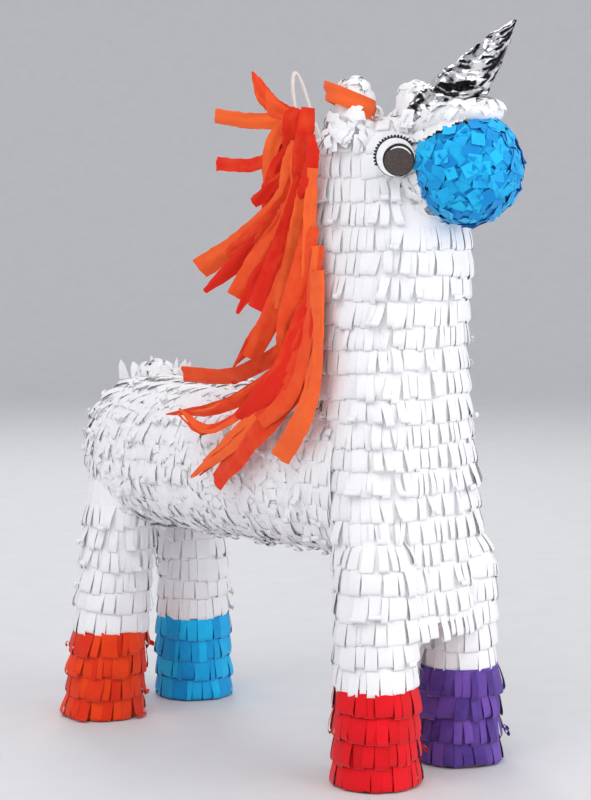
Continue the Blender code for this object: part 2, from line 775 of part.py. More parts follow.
make_neck()
make_crown()
make_hanging_loop()
make_barrel()
for leg_place in LEGS:
    make_leg(leg_place)
make_head()
make_horn()
make_brow_roll()
make_ears()
make_eyes()
make_mane()
make_forelock()
make_tail()

# The origin moves from between the feet to the ground under the middle of the whole length.
MIDDLE_Y = -0.02035
for piece in (*PARTS.objects, *CUTTERS.objects):
    if piece.parent is None:
        piece.location.y -= MIDDLE_Y
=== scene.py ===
import math
import random

import bpy
from mathutils import Matrix, Vector, noise


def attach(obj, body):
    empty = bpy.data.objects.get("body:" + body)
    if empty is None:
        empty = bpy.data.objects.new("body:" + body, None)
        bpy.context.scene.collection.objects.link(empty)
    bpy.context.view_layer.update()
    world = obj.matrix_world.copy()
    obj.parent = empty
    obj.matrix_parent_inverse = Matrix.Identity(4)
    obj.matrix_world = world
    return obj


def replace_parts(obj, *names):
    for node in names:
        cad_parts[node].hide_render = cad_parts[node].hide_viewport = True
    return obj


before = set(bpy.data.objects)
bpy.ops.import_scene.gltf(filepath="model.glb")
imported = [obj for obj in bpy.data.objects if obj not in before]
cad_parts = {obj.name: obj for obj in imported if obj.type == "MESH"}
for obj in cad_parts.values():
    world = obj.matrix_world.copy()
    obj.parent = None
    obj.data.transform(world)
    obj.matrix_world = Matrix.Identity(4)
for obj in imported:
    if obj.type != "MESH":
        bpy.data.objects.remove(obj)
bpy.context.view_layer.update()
RNG = random.Random(7)

SHIFT = 0.02035  # from the middle of the feet to the row's origin, along Y
CARD_SKIN = 0.0004  # tissue starts this far off the card
RIGHT = Vector((0.6984, -0.7157, 0.0))  # across the view, towards the animal's head
NEAR = Vector((-0.7157, -0.6984, 0.0))  # level, towards the viewer


def at(lateral, height, near):
    """A point given across the view, in height, and towards the viewer, from the feet's middle."""
    point = RIGHT * lateral + NEAR * near
    return Vector((point.x, point.y + SHIFT, height))


# --- camera and cord ---
def make_camera():
    data = bpy.data.cameras.new("camera")
    data.sensor_fit = "VERTICAL"
    data.sensor_height = 36.0
    data.sensor_width = 26.6
    data.lens = 91.35
    camera = bpy.data.objects.new("camera", data)
    bpy.context.scene.collection.objects.link(camera)
    camera.location = (-1.1294, -1.1239 + SHIFT, 0.405)
    direction = Vector((0.7157, 0.6984, -math.tan(math.radians(4.93))))
    camera.rotation_euler = direction.to_track_quat("-Z", "Y").to_euler()
    bpy.context.scene.camera = camera
    bpy.context.scene.view_settings.view_transform = "Standard"


def loop_path():
    """The hanging cord's route, as it is in part.py."""
    hole = Vector((0, -0.0535, 0.462))
    rise = Vector((0, -0.0215, 0.5215)) - hole
    points = []
    for i in range(33):
        t = 0.5 - 0.5 * math.cos(math.pi * i / 32)
        share = max(0.0, math.sin(math.pi * t))
        spread = 0.009 + 0.0010 * math.sin(math.pi * min(1, 2.3 * min(t, 1 - t)) / 2)
        x = -math.cos(math.pi * t) * spread
        y = hole.y + rise.y * share**0.45 + SHIFT
        points.append(Vector((x, y, hole.z + rise.z * share**0.95)))
    return points


def path_length(points):
    return sum((a - b).length for a, b in zip(points, points[1:]))


def node_tree(name):
    material = bpy.data.materials.new(name)
    material.use_nodes = True
    tree = material.node_tree
    return material, tree, tree.nodes["Principled BSDF"]


def add_node(tree, kind, **values):
    node = tree.nodes.new(kind)
    for key, value in values.items():
        if key in node.inputs:
            node.inputs[key].default_value = value
        else:
            setattr(node, key, value)
    return node


def ramp(tree, source, low, high, start=0.3, end=0.7):
    node = tree.nodes.new("ShaderNodeValToRGB")
    node.color_ramp.elements[0].position = start
    node.color_ramp.elements[1].position = end
    node.color_ramp.elements[0].color = (*low, 1.0)
    node.color_ramp.elements[1].color = (*high, 1.0)
    tree.links.new(source, node.inputs["Fac"])
    return node.outputs["Color"]


def srgb(r, g, b):
    def linear(value):
        value /= 255
        return value / 12.92 if value <= 0.04045 else ((value + 0.055) / 1.055) ** 2.4

    return (linear(r), linear(g), linear(b))


def noise_over(tree, **values):
    """Noise laid over the object's own coordinates."""
    node = add_node(tree, "ShaderNodeTexNoise", **values)
    place = tree.nodes.new("ShaderNodeTexCoord")
    tree.links.new(place.outputs["Object"], node.inputs["Vector"])
    return node.outputs["Fac"]


def add_relief(tree, shader, height, strength, distance):
    node = add_node(tree, "ShaderNodeBump", Strength=strength, Distance=distance)
    tree.links.new(height, node.inputs["Height"])
    tree.links.new(node.outputs["Normal"], shader.inputs["Normal"])


def toned(tree, shader, blotch, weight, low, high, start, end):
    """Colours each strip by its own tone, with a weight of blotches added."""
    # On the silver foil this tone carries painted reflection, not a colour of the foil itself.
    tone = add_node(tree, "ShaderNodeAttribute", attribute_name="tone")
    mix = add_node(tree, "ShaderNodeMath", operation="MULTIPLY_ADD")
    tree.links.new(blotch, mix.inputs[0])
    mix.inputs[1].default_value = weight
    tree.links.new(tone.outputs["Fac"], mix.inputs[2])
    colour = ramp(tree, mix.outputs["Value"], low, high, start, end)
    tree.links.new(colour, shader.inputs["Base Color"])


def tissue(name, deep, bright, crease=700.0):
    """Matt tissue paper: tone varies from tab to tab, with fine creases along and across."""
    material, tree, shader = node_tree(name)
    blotch = noise_over(tree, Scale=90.0, Detail=4.0, Roughness=0.6)
    toned(tree, shader, blotch, 0.55, deep, bright, 0.35, 1.05)
    shader.inputs["Roughness"].default_value = 0.78
    shader.inputs["Sheen Weight"].default_value = 0.15
    shader.inputs["Specular IOR Level"].default_value = 0.3
    place = tree.nodes.new("ShaderNodeTexCoord")
    stretch = add_node(tree, "ShaderNodeMapping", Scale=(1.0, 1.0, 0.25))
    tree.links.new(place.outputs["Object"], stretch.inputs["Vector"])
    fine = add_node(tree, "ShaderNodeTexNoise", Scale=crease, Detail=3.0, Roughness=0.65)
    tree.links.new(stretch.outputs["Vector"], fine.inputs["Vector"])
    total = add_node(tree, "ShaderNodeMath", operation="ADD")
    tree.links.new(fine.outputs["Fac"], total.inputs[0])
    tree.links.new(noise_over(tree, Scale=crease / 4, Detail=2.0), total.inputs[1])
    add_relief(tree, shader, total.outputs["Value"], 0.35, 0.0006)
    return material


def grained(name, low, high, roughness, relief=None, sheen=0.0, **grain_values):
    """A material grained between two colours, with a relief given as strength and distance."""
    material, tree, shader = node_tree(name)
    grain = noise_over(tree, **grain_values)
    tree.links.new(ramp(tree, grain, low, high), shader.inputs["Base Color"])
    shader.inputs["Roughness"].default_value = roughness
    shader.inputs["Sheen Weight"].default_value = sheen
    if relief:
        add_relief(tree, shader, grain, *relief)
    return material


def foil():
    """Crushed silver foil: hard creases, and painted reflections: dark and bright streaks in its
    colour stand in for a dark and a bright room.
    """
    material, tree, shader = node_tree("silver_foil")
    fine = noise_over(tree, Scale=240.0, Detail=3.0)
    # Painted reflection: the tone and the fine noise run the base colour from near black to near
    # white, in place of a dark and a bright room seen in the foil.
    toned(tree, shader, fine, 0.8, srgb(36, 36, 38), srgb(244, 244, 246), 0.78, 1.02)
    shader.inputs["Metallic"].default_value = 1.0
    shader.inputs["Roughness"].default_value = 0.14
    place = tree.nodes.new("ShaderNodeTexCoord")
    crease = add_node(tree, "ShaderNodeTexVoronoi", Scale=150.0, feature="F1")
    tree.links.new(place.outputs["Object"], crease.inputs["Vector"])
    add_relief(tree, shader, crease.outputs["Distance"], 0.6, 0.0016)
    return material


def ink(name, low, high):
    return grained(name, low, high, 0.45, Scale=700.0, Detail=3.0)


WHITE = tissue("white_tissue", srgb(249, 249, 252), srgb(254, 254, 255))
ORANGE = tissue("orange_tissue", (0.80, 0.016, 0.001), (1.0, 0.145, 0.026), crease=420.0)
HOOF_ORANGE = tissue("hoof_orange_tissue", (0.74, 0.010, 0.0), (0.95, 0.060, 0.002))
BLUE = tissue("blue_tissue", (0.0, 0.27, 0.70), (0.01, 0.56, 1.0))
RED = tissue("red_tissue", (0.62, 0.0, 0.001), (0.90, 0.0, 0.010))
PURPLE = tissue("purple_tissue", (0.055, 0.022, 0.20), (0.19, 0.085, 0.46))
CORD = grained(
    "cotton_cord", srgb(214, 206, 198), srgb(246, 242, 238), 0.9, (0.5, 0.0004), 0.3,
    Scale=1500.0, Detail=3.0,
)
CARD = grained(
    "brown_card", srgb(150, 118, 82), srgb(186, 152, 110), 0.88, (0.25, 0.0003),
    Scale=260.0, Detail=6.0, Roughness=0.7,
)
FOIL = foil()
INK_BLACK = ink("eye_ink_black", srgb(14, 11, 12), srgb(26, 21, 22))
INK_BROWN = ink("eye_ink_brown", srgb(58, 47, 45), srgb(84, 71, 68))
INK_WHITE = ink("eye_ink_white", srgb(232, 232, 234), srgb(250, 250, 250))


def link(name, data, material, body, slot):
    obj = bpy.data.objects.new(name, data)
    bpy.context.scene.collection.objects.link(obj)
    data.materials.append(material)
    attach(obj, body)
    return obj


def make_cord():
    curve = bpy.data.curves.new("cord_loop", "CURVE")
    curve.dimensions = "3D"
    points = loop_path()
    spline = curve.splines.new("POLY")
    spline.points.add(len(points) - 1)
    for target, point in zip(spline.points, points):
        target.co = (*point, 1.0)
    curve.bevel_depth = 0.0015
    curve.bevel_resolution = 4
    curve.use_fill_caps = True
    obj = link("cord_loop", curve, CORD, "loop", "cotton_cord")
    length = path_length(points)
    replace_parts(obj, "hanging_loop")


make_camera()
make_cord()


# --- body surfaces, as they are in part.py ---
def super_point(half_u, half_v, power, angle):
    c, s = math.cos(angle), math.sin(angle)
    return (
        half_u * math.copysign(abs(c) ** (2 / power), c),
        half_v * math.copysign(abs(s) ** (2 / power), s),
    )


class Surface:
    """A surface met by s, the way tissue hangs down it in metres, and t, once round from 0 to 1."""

    def __init__(self, sample, s_values, t_count):
        self.s_values = s_values
        self.t_count = t_count
        self.grid = [[sample(s, j / t_count) for j in range(t_count + 1)] for s in s_values]
        self.rounds = [path_length(row) for row in self.grid]

    def _rows(self, s):
        values = self.s_values
        s = min(max(s, values[0]), values[-1] - 1e-9)
        low, high = 0, len(values) - 1
        while high - low > 1:
            middle = (low + high) // 2
            if values[middle] <= s:
                low = middle
            else:
                high = middle
        return low, (s - values[low]) / (values[high] - values[low])

    def point(self, s, t):
        k, u = self._rows(s)
        t = min(max(t, 0.0), 0.999999) * self.t_count
        j = int(t)
        v = t - j
        a = self.grid[k][j].lerp(self.grid[k][j + 1], v)
        b = self.grid[k + 1][j].lerp(self.grid[k + 1][j + 1], v)
        return a.lerp(b, u)

    def around(self, s):
        k, u = self._rows(s)
        return self.rounds[k] * (1 - u) + self.rounds[k + 1] * u

    def frame(self, s, t):
        """The point, and the unit vectors down, along the row and out."""
        e = 0.002
        p = self.point(s, t)
        down = self.point(s + e, t) - self.point(s - e, t)
        d = 0.004 / max(self.around(s), 0.02)
        t0 = min(max(t, d), 1 - d)
        side = self.point(s, t0 + d) - self.point(s, t0 - d)
        out = side.cross(down)
        if down.length < 1e-9 or out.length < 1e-12:
            return p, Vector((0, 0, -1)), Vector((1, 0, 0)), Vector((0, 0, 1))
        down.normalize()
        out.normalize()
        return p, down, down.cross(out).normalized(), out


NECK_STATIONS = (
    (0.152, -0.141, 0.0685, 0.0325),
    (0.200, -0.136, 0.0660, 0.0350),
    (0.260, -0.129, 0.0610, 0.0400),
    (0.320, -0.122, 0.0560, 0.0460),
    (0.380, -0.122, 0.0510, 0.0560),
    (0.415, -0.120, 0.0490, 0.0560),
    (0.450, -0.1145, 0.0470, 0.0540),
)


def neck_surface():
    """Crown and neck as one surface, from the middle of the crown to the chest's lower edge."""
    top = NECK_STATIONS[-1]
    levels = []
    for i in range(10):
        angle = math.pi / 2 * (1 - i / 10)
        shrink = max(0.02, math.cos(angle) ** 0.8)
        z = top[0] + CARD_SKIN + 0.032 * math.sin(angle)
        levels.append((z, top[1], top[2] * shrink, top[3] * shrink))
    stations = NECK_STATIONS[::-1]
    for a, b in zip(stations, stations[1:]):
        for i in range(4):
            u = i / 4
            levels.append(tuple(x + (y - x) * u for x, y in zip(a, b)))
    levels.append(stations[-1])
    foot = stations[-1]
    for drop in (0.018, 0.036, 0.054):
        levels.append((foot[0] - drop, foot[1] - drop * 0.12, foot[2] + 0.001, foot[3] - 0.0005))
    s_values, s = [], 0.0
    for i, level in enumerate(levels):
        if i:
            last = levels[i - 1]
            s += math.hypot(level[0] - last[0], (level[2] + level[3] - last[2] - last[3]) / 2)
        s_values.append(s + i * 1e-7)

    def sample(s, t):
        z, centre, half_x, half_y = levels[s_values.index(s)]
        angle = math.pi / 2 - 2 * math.pi * t
        x, y = super_point(half_x + CARD_SKIN, half_y + CARD_SKIN, 2.25, angle)
        return Vector((x, centre + y + SHIFT, z))

    return Surface(sample, s_values, 72)


def barrel_surface():
    """The barrel and rump, from the spine down both sides to the middle of the belly."""
    hx, hz, power, z0 = 0.0660 + CARD_SKIN, 0.0575 + CARD_SKIN, 2.5, 0.221
    front, rear, length = -0.124, 0.122, 0.057
    count = 36
    angles = [math.pi * (0.02 + 0.96 * i / count) for i in range(count + 1)]
    section = [super_point(hz, hx, power, a) for a in angles]
    s_values = [0.0]
    for a, b in zip(section, section[1:]):
        s_values.append(s_values[-1] + math.hypot(b[0] - a[0], b[1] - a[1]))

    def outline(k):
        z, x = section[k]
        zeta = abs(z) / hz
        points = [(-x, front + (rear - front) * i / 20) for i in range(21)]
        last = math.acos(min(1.0, max(zeta, 0.02) ** (1 / 0.62)))
        for i in range(1, 25):
            a = last * math.sin(math.pi / 2 * i / 24)
            c = math.cos(a) ** 0.62
            inner = max(0.0, 1 - (min(1.0, zeta / c)) ** power)
            points.append((-c * hx * inner ** (1 / power), rear + length * math.sin(a)))
        points += [(-px, py) for px, py in reversed(points)]
        return points, z

    resampled = {}

    def sample(s, t):
        k = s_values.index(s)
        if k not in resampled:
            points, z = outline(k)
            steps = [0.0]
            for a, b in zip(points, points[1:]):
                steps.append(steps[-1] + math.hypot(b[0] - a[0], b[1] - a[1]))
            resampled[k] = (points, z, steps)
        points, z, steps = resampled[k]
        want = t * steps[-1]
        i = max(j for j in range(len(steps)) if steps[j] <= want + 1e-12)
        i = min(i, len(steps) - 2)
        gap = steps[i + 1] - steps[i]
        u = (want - steps[i]) / gap if gap > 1e-12 else 0.0
        x = points[i][0] + (points[i + 1][0] - points[i][0]) * u
        y = points[i][1] + (points[i + 1][1] - points[i][1]) * u
        return Vector((x, y + SHIFT, z0 + z))

    return Surface(sample, s_values, 110)


LEGS = {
    "front_right": (-0.0495, -0.152, 0.0),
    "front_left": (0.0440, -0.152, 0.0),
    "rear_right": (-0.0515, 0.152, 0.07),
    "rear_left": (0.0515, 0.152, 0.07),
}


def leg_surface(place, radius, top, bottom, flare=0.0, taper=0.0):
    """A leg's outside. With a taper it narrows over that height, up into the body above it."""
    x0, y0, lean = LEGS[place]
    steps = 20
    s_values = [(top - bottom) * i / steps for i in range(steps + 1)]

    def sample(s, t):
        z = top - s
        r = radius + flare * (s / s_values[-1])
        x, y = x0 - math.copysign(lean, x0) * z, y0 - lean * z + SHIFT
        if s < taper:
            high = 1 - s / taper
            r *= 1 - 0.45 * high * high
            x *= 1 - 0.12 * high
            y += 0.006 * high
        angle = math.pi / 2 - 2 * math.pi * t
        return Vector((x + r * math.cos(angle), y + r * math.sin(angle), z))

    return Surface(sample, s_values, 36)


# --- cut tissue ---
CORNERS = ((0, 0), (0, 1), (1, 1), (1, 0))  # round one cell of a grid


class Sheets:
    """Gathers the strips of one piece into a mesh, each with its own tone."""

    def __init__(self):
        self.verts, self.faces, self.tones_and_painted_reflections = [], [], []

    def grid(self, rows, tone):
        start = len(self.verts)
        width = len(rows[0])
        for row in rows:
            self.verts.extend(row)
        for i in range(len(rows) - 1):
            for j in range(width - 1):
                a = start + i * width + j
                self.faces.append((a, a + 1, a + width + 1, a + width))
        self.tones_and_painted_reflections.extend([tone] * (width * len(rows)))

    def cell(self, corners, tone):
        """One four-cornered cell, its corners given round it."""
        self.grid([[corners[0], corners[1]], [corners[3], corners[2]]], tone)

    def mesh(self, name):
        mesh = bpy.data.meshes.new(name)
        mesh.from_pydata([tuple(v) for v in self.verts], [], self.faces)
        tone = mesh.attributes.new("tone", "FLOAT", "POINT")
        tone.data.foreach_set("value", self.tones_and_painted_reflections)
        mesh.update()
        mesh.shade_smooth()
        return mesh


def lining(sheets, surface, s0, s1, offset, keep=None):
    """The plain tissue under the fringe, in cells about 6 mm high."""
    rows = max(2, int((s1 - s0) / 0.006))
    count = surface.t_count
    for i in range(rows):
        for j in range(0, count, 2):
            corners = []
            for ds, dt in CORNERS:
                s = s0 + (s1 - s0) * (i + ds) / rows
                t = min((j + 2 * dt) / count, 1.0)
                p, _, _, out = surface.frame(s, t)
                corners.append(p + out * offset)
            middle = (corners[0] + corners[2]) / 2
            if keep is None or keep(middle):
                sheets.cell(corners, 0.6)


TAB_SHAPES = {  # down the tab, and millimetres out from the surface
    "fold": (
        (0, 0.3), (0.2, 1.5), (0.5, 2.8), (0.78, 3.6),
        (0.93, 3.5), (1.0, 2.5), (0.96, 1.3), (0.85, 0.7),
    ),
    "flat": ((0, 0.4), (0.3, 1.4), (0.6, 2.3), (0.85, 2.8), (0.97, 2.6), (1.0, 2.0), (0.97, 1.2)),
    "curl": (
        (0, 0.5), (0.3, 2.2), (0.6, 4.2), (0.85, 5.9),
        (0.96, 7.6), (0.86, 8.8), (0.74, 8.0), (0.76, 6.8),
    ),
    "loop": (
        (0, 0.6), (0.3, 3.0), (0.6, 5.0), (0.88, 5.8),
        (1.02, 4.4), (0.96, 2.4), (0.74, 1.6), (0.5, 1.2),
    ),
}


def tab(sheets, surface, s, t, width, length, puff, kind, tone, wild):
    """One cut of fringe: it hangs from its row, swells outwards and turns under at its foot."""
    skew = RNG.gauss(0, 0.012 + 0.22 * wild)
    lift = abs(RNG.gauss(0, 0.04 + 0.22 * wild))
    twist = RNG.gauss(0, 0.03 + 0.28 * wild)
    step = RNG.uniform(0.0002, 0.0007)
    wobble = RNG.uniform(-1, 1)
    rows = []
    for v, off in TAB_SHAPES[kind]:
        q, _, side, out = surface.frame(s + length * v, t)
        half = width / 2 * (1 + 0.05 * math.sin(5 * v + wobble * 3))
        centre = q + side * (skew * length * v + 0.0012 * wild * math.sin(4 * v + wobble * 6))
        height = 0.001 * off * puff * (1 + lift * v) + step
        row = []
        for c in (-1, 0, 1):
            crown = 0.0004 * (1 - c * c) * math.sin(math.pi * min(v, 1.0) + 0.4)
            row.append(centre + side * (c * half) + out * (height + crown + c * twist * half * v))
        rows.append(row)
    sheets.grid(rows, tone)


def fringe(surface, rows, width, length, pick, puff, mess, ragged=0.0006):
    """Rows of tabs. At a tab's root, pick gives its Sheets and mess says how unruly it is."""
    for s in rows:
        around = surface.around(s)
        if around < 0.01:
            continue
        t = RNG.random() * width / around
        drift = RNG.uniform(0, 6)
        while t < 1:
            w = width * RNG.choice((0.55, 0.75, 0.9, 1.0, 1.2, 1.6))
            centre = t + w / 2 / around
            here = s + RNG.gauss(0, ragged) + 0.0010 * math.sin(9 * t + drift)
            if here > surface.s_values[0] and centre < 1:
                spot = surface.point(here, centre)
                sheets = pick(spot)
                if sheets is not None:
                    wild = mess(spot)
                    kinds = (0.86 - 0.7 * wild, 0.12, 0.01 + 0.4 * wild, 0.01 + 0.5 * wild)
                    kind = RNG.choices(tuple(TAB_SHAPES), [max(k, 0.02) for k in kinds])[0]
                    if wild > 0.3:
                        w = min(w, 0.0062)
                    tab(
                        sheets, surface, here, centre, w * 1.06,
                        length * RNG.uniform(0.95, 1.07), puff * RNG.uniform(0.85, 1.12),
                        kind, RNG.uniform(0.2, 0.7), wild,
                    )
            t += w / around


def dress(name, sheets, material, nodes, body="body", slot="white_tissue"):
    obj = link(name, sheets.mesh(name), material, body, slot)
    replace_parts(obj, *nodes)
    return obj


FLAP_X, FLAP_Y0, FLAP_Y1 = 0.0334, 0.0356 + SHIFT, 0.1060 + SHIFT
FLAP_Z = 0.26  # the flap lies above this
FOLD_BEFORE, FOLD_AFTER = 0.009, 0.012  # tabs are left out this far each side of the flap's fold
PITCH = 0.0176  # from row to row of the fringe on the neck and the legs


def dress_barrel():
    surface = barrel_surface()
    barrel, flap = Sheets(), Sheets()

    def on_flap(p, grow=0.0):
        inside_y = FLAP_Y0 - grow < p.y < FLAP_Y1 + grow
        return abs(p.x) < FLAP_X + grow and inside_y and p.z > FLAP_Z

    def on_fold(p):
        inside_y = FLAP_Y1 - FOLD_BEFORE < p.y < FLAP_Y1 + FOLD_AFTER
        return abs(p.x) < FLAP_X + 0.004 and inside_y and p.z > FLAP_Z

    def pick(p):
        if on_fold(p):
            return None
        return flap if on_flap(p) else barrel

    total = surface.s_values[-1]
    lining(
        barrel, surface, 0.0, total, 0.0024,
        keep=lambda p: not on_flap(p, -0.001) and not on_fold(p),
    )
    lining(barrel, surface, 0.0, 0.06, 0.0008, keep=lambda p: on_fold(p) and not on_flap(p))
    lining(flap, surface, 0.0, 0.05, 0.0024, keep=lambda p: on_flap(p) and p.y < FLAP_Y1 - 0.004)
    pitch = 0.0150
    rows = [0.003 + pitch * k for k in range(int(total / pitch))]

    def mess(p):
        belly = max(0.0, (0.215 - p.z) / 0.05)
        rump = max(0.0, (p.y - 0.09 - SHIFT) / 0.06)
        return min(0.7, 0.28 + 0.30 * belly + 0.20 * rump + 0.2 * noise.noise(p * 25))

    fringe(surface, rows, 0.0062, 0.0200, pick, 0.85, mess, ragged=0.0016)

    def on_barrel():
        while True:
            s, t = total * RNG.random() ** 0.8, RNG.uniform(0.04, 0.96)
            p, _, _, n = surface.frame(s, t)
            if not on_flap(p, 0.012):
                return p + n * 0.0027, n

    scatter_tabs(barrel, on_barrel, 1900, 0.0078, (0.05, 0.42))
    dress("barrel_tissue", barrel, WHITE, ["barrel_fringe"])
    dress("flap_tissue", flap, WHITE, ["flap_fringe"], "flap")


def dress_neck():
    surface = neck_surface()
    neck, crown = Sheets(), Sheets()
    split = 0.452

    def pick(p):
        if p.z > split:
            return crown
        y = p.y - SHIFT
        if y < -0.150 and abs(p.x) < 0.034 and p.z > 0.415:
            return None
        if 0.180 < p.z < 0.272 and y > -0.108 and abs(p.x) < 0.050:
            return None
        return neck

    total = surface.s_values[-1]
    crown_end = next(s for s, row in zip(surface.s_values, surface.grid) if row[0].z < split)
    lining(crown, surface, 0.0005, crown_end, 0.0020)
    lining(neck, surface, crown_end, total - 0.018, 0.0020)
    rows = [0.004 + PITCH * k for k in range(int((total - 0.022) / PITCH) + 1)]

    def mess(p):
        corner = abs(p.x + 0.046) < 0.012 and p.y < -0.145 + SHIFT
        return (0.50 if corner else 0.05) + max(0.0, 0.5 * noise.noise(p * 20))

    fringe(surface, rows, 0.0070, 0.0208, pick, 1.0, mess)
    dress("neck_tissue", neck, WHITE, ["neck_fringe"])
    dress("crown_tissue", crown, WHITE, ["crown_fringe"])


# The hoof's tissue and slot, the leg's radius, and how unruly the leg's and the hoof's tabs are.
LEG_DRESS = {
    "front_right": (RED, "red_tissue", 0.0278, 0.12, 0.08),
    "front_left": (PURPLE, "purple_tissue", 0.0254, 0.04, 0.28),
    "rear_right": (HOOF_ORANGE, "hoof_orange_tissue", 0.0275, 0.32, 0.16),
    "rear_left": (BLUE, "blue_tissue", 0.0275, 0.04, 0.10),
}


def dress_legs():
    for place, (material, slot, radius, leg_mess, hoof_mess) in LEG_DRESS.items():
        top, taper = (0.186, 0.034) if place.startswith("front") else (0.206, 0.0)
        surface = leg_surface(place, radius, top, 0.050, taper=taper)
        sheets = Sheets()
        lining(sheets, surface, 0.0, surface.s_values[-1], 0.0018)
        rows = [top - 0.0912 - PITCH * k for k in range(6)]
        rows = [s for s in rows[::-1] if s > 0.0015]
        fringe(
            surface, rows, 0.0085, 0.0202, lambda p: sheets, 0.85,
            lambda p: leg_mess * min(1.0, max(0.0, (p.z - 0.095) / 0.05)) + 0.03,
        )
        dress(f"leg_tissue_{place}", sheets, WHITE, [f"leg_fringe_{place}"])

        surface = leg_surface(place, 0.0292, 0.0745, 0.0008, 0.0006)
        sheets = Sheets()
        lining(sheets, surface, 0.0, surface.s_values[-1] - 0.001, 0.0004)
        rows = [0.0015 + 0.0180 * k for k in range(4)]
        fringe(
            surface, rows, 0.0078, 0.0186, lambda p: sheets, 0.85,
            lambda p: hoof_mess, ragged=0.0004,
        )
        for v in sheets.verts:
            v.z = max(v.z, 0.0012)
        dress(f"hoof_tissue_{place}", sheets, material, [f"hoof_cuff_{place}"], slot=slot)


MUZZLE = Vector((0, -0.1925 + SHIFT, 0.4455))
HORN_BASE = Vector((0, -0.172 + SHIFT, 0.487))
HORN_TIP = Vector((0, -0.2285 + SHIFT, 0.5405))
GOLDEN_TURN = 2.399963  # spreads points evenly over a ball


def under_brow(n):
    """Whether white covers the muzzle this way: over its top and down each cheek to the eye."""
    return 0.293 * abs(n.x) + 0.301 * n.y + 0.906 * n.z > 0.74


def any_way(n, most=math.pi):
    """A direction at right angles to n, turned about it at random."""
    u = n.orthogonal().normalized()
    u.rotate(Matrix.Rotation(RNG.uniform(0, most), 3, n))
    return u


def stirred(n, spread):
    return (n + Vector([RNG.gauss(0, spread) for _ in range(3)])).normalized()


def paste_square(sheets, centre, n, size, tone):
    """A cut square laid on a surface, turned any way, its edges a little raised."""
    u = any_way(n)
    v = n.cross(u)
    tilt_u, tilt_v = RNG.gauss(0, 0.10), RNG.gauss(0, 0.10)
    curl = RNG.uniform(-0.20, 0.35)
    rows = []
    for a in (-0.5, 0.0, 0.5):
        row = []
        for b in (-0.5, 0.0, 0.5):
            lift = (tilt_u * a + tilt_v * b + curl * (a * a + b * b) - 0.1) * size
            row.append(centre + u * (a * size) + v * (b * size) + n * lift)
        rows.append(row)
    sheets.grid(rows, tone)


def dress_muzzle():
    """Squares of blue tissue pasted all over the ball, and a point of blue to each eye."""
    blue = Sheets()
    for i in range(30):
        for j in range(48):
            corners = []
            for di, dj in CORNERS:
                a = math.pi * (i + di) / 30
                b = 2 * math.pi * (j + dj) / 48
                n = Vector((math.sin(a) * math.cos(b), -math.cos(a), math.sin(a) * math.sin(b)))
                corners.append(MUZZLE + n * 0.0380)
            middle = (corners[0] + corners[2]) / 2
            if middle.y < -0.1735 + SHIFT and not under_brow((middle - MUZZLE).normalized()):
                blue.cell(corners, 0.3)
    count = 620
    for i in range(count):
        y = 1 - 2 * (i + 0.5) / count
        r = math.sqrt(1 - y * y)
        a = i * GOLDEN_TURN
        n = Vector((r * math.cos(a), -y, r * math.sin(a)))
        n = stirred(n, 0.05)
        centre = MUZZLE + n * (0.0390 + 0.0028 * RNG.random())
        if centre.y < -0.1740 + SHIFT and not under_brow(n):
            paste_square(blue, centre, n, RNG.uniform(0.0082, 0.0112), RNG.uniform(0.0, 0.85))
    for sign in (-1, 1):
        eye, across, up, out = eye_frame(sign)
        corner = eye + across * 0.0142 + up * 0.0020 + out * 0.0008
        rows = []
        for i in range(6):
            row = []
            for j in range(8):
                turn = math.radians(124 + 76 * j / 7)
                side = Vector((sign * 0.698, 0.716, 0)) * -math.cos(turn) * 0.9
                n = Vector((sign * 0.42, -0.40, 0)) + side + Vector((0, 0, math.sin(turn)))
                n.normalize()
                row.append(corner.lerp(MUZZLE + n * 0.0392, i / 5))
            rows.append(row)
        blue.grid(rows, 0.45)
    dress("muzzle_tissue", blue, BLUE, ["muzzle_fringe"], slot="blue_tissue")


def scatter_tabs(sheets, centre_of, count, size, bend=(0.2, 1.2)):
    """Loose curls of tissue lying every way. centre_of gives a point and its normal."""
    for _ in range(count):
        centre, n = centre_of()
        u = any_way(n, 2 * math.pi)
        v = n.cross(u)
        w, h = size * RNG.uniform(0.6, 1.1), size * RNG.uniform(1.0, 1.9)
        rise = RNG.uniform(*bend) * h * 0.5
        rows = []
        for a in (0, 0.25, 0.5, 0.75, 1.0):
            arc = math.sin(a * math.pi * 0.85) * rise
            middle = centre + v * ((a - 0.5) * h) + n * (arc - 0.0004)
            rows.append([middle + u * (b * w / 2) + n * (0.0005 * (1 - b * b)) for b in (-1, 0, 1)])
        sheets.grid(rows, RNG.uniform(0.2, 0.7))


def dress_snout():
    """White curls round the snout, between the head and the blue muzzle."""
    snout = Sheets()
    for i in range(8):
        for j in range(40):
            corners = []
            for di, dj in CORNERS:
                a = 2 * math.pi * (j + dj) / 40
                y = -0.128 - 0.047 * (i + di) / 8 + SHIFT
                corners.append(Vector((0.0352 * math.cos(a), y, MUZZLE.z + 0.0352 * math.sin(a))))
            snout.cell(corners, 0.6)

    eyes = [eye_frame(sign)[0] for sign in (-1, 1)]

    def on_snout():
        while True:
            a = RNG.uniform(0, 2 * math.pi)
            n = Vector((math.cos(a), 0, math.sin(a)))
            y = -0.148 - 0.028 * RNG.random() + SHIFT
            p = Vector((0.0368 * n.x, y, MUZZLE.z + 0.0368 * n.z))
            if min((p - eye).length for eye in eyes) > 0.021:
                return p, n

    scatter_tabs(snout, on_snout, 480, 0.0078, (0.1, 0.8))
    dress("snout_tissue", snout, WHITE, ["snout_fringe"])


